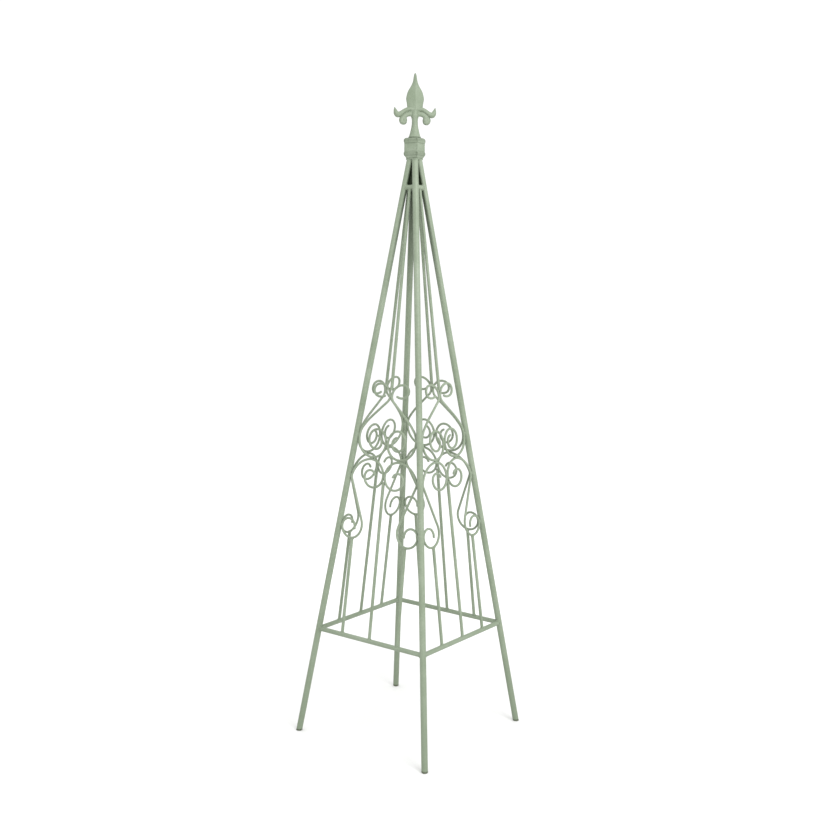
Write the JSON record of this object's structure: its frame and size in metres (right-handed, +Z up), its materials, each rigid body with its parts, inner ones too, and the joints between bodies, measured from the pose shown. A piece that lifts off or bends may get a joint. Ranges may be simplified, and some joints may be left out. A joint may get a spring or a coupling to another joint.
{
  "type": "garden obelisk",
  "caption": "Four-sided tapering steel plant support with wire scrolls, upright rods, a square collar and a cast fleur-de-lis finial; it stands on four feet.",
  "frame": {"origin": "on the ground, at the middle of the four feet", "axes": "+Z up; -Y is the front face and +X the right face; the finial faces the front right corner"},
  "size_m": [0.4306, 0.4306, 1.7],
  "materials": {
    "sage_paint": "satin sage green powder coat over steel, slightly uneven",
    "sage_paint_casting": "satin sage green paint over a sand casting, slightly grainy",
    "core_primer": "thin dark green-black primer, dull",
    "plug_plastic": "dark green moulded plastic, dull",
    "stud_steel": "zinc plated"
  },
  "bodies": {
    "root": {"base_rail_back": "sage_paint", "base_rail_front": "sage_paint", "base_rail_left": "sage_paint", "base_rail_right": "sage_paint", "collar": "sage_paint_casting", "finial": "sage_paint_casting", "finial_stud": "stud_steel", "foot_plug_back_left": "plug_plastic", "foot_plug_back_right": "plug_plastic", "foot_plug_front_left": "plug_plastic", "foot_plug_front_right": "plug_plastic", "leg_back_left": "sage_paint", "leg_back_right": "sage_paint", "leg_front_left": "sage_paint", "leg_front_right": "sage_paint", "long_rod_back": "sage_paint", "long_rod_front": "sage_paint", "long_rod_left": "sage_paint", "long_rod_right": "sage_paint", "lower_scroll_back_left": "sage_paint", "lower_scroll_back_right": "sage_paint", "lower_scroll_front_left": "sage_paint", "lower_scroll_front_right": "sage_paint", "lower_scroll_left_left": "sage_paint", "lower_scroll_left_right": "sage_paint", "lower_scroll_right_left": "sage_paint", "lower_scroll_right_right": "sage_paint", "middle_rod_back": "sage_paint", "middle_rod_front": "sage_paint", "middle_rod_left": "sage_paint", "middle_rod_right": "sage_paint", "side_rod_back_left": "sage_paint", "side_rod_back_right": "sage_paint", "side_rod_front_left": "sage_paint", "side_rod_front_right": "sage_paint", "side_rod_left_left": "sage_paint", "side_rod_left_right": "sage_paint", "side_rod_right_left": "sage_paint", "side_rod_right_right": "sage_paint", "top_brace_back": "sage_paint", "top_brace_front": "sage_paint", "top_brace_left": "sage_paint", "top_brace_right": "sage_paint", "top_core": "core_primer", "top_plate": "sage_paint", "upper_scroll_back_left": "sage_paint", "upper_scroll_back_right": "sage_paint", "upper_scroll_front_left": "sage_paint", "upper_scroll_front_right": "sage_paint", "upper_scroll_left_left": "sage_paint", "upper_scroll_left_right": "sage_paint", "upper_scroll_right_left": "sage_paint", "upper_scroll_right_right": "sage_paint"}
  },
  "joints": []
}
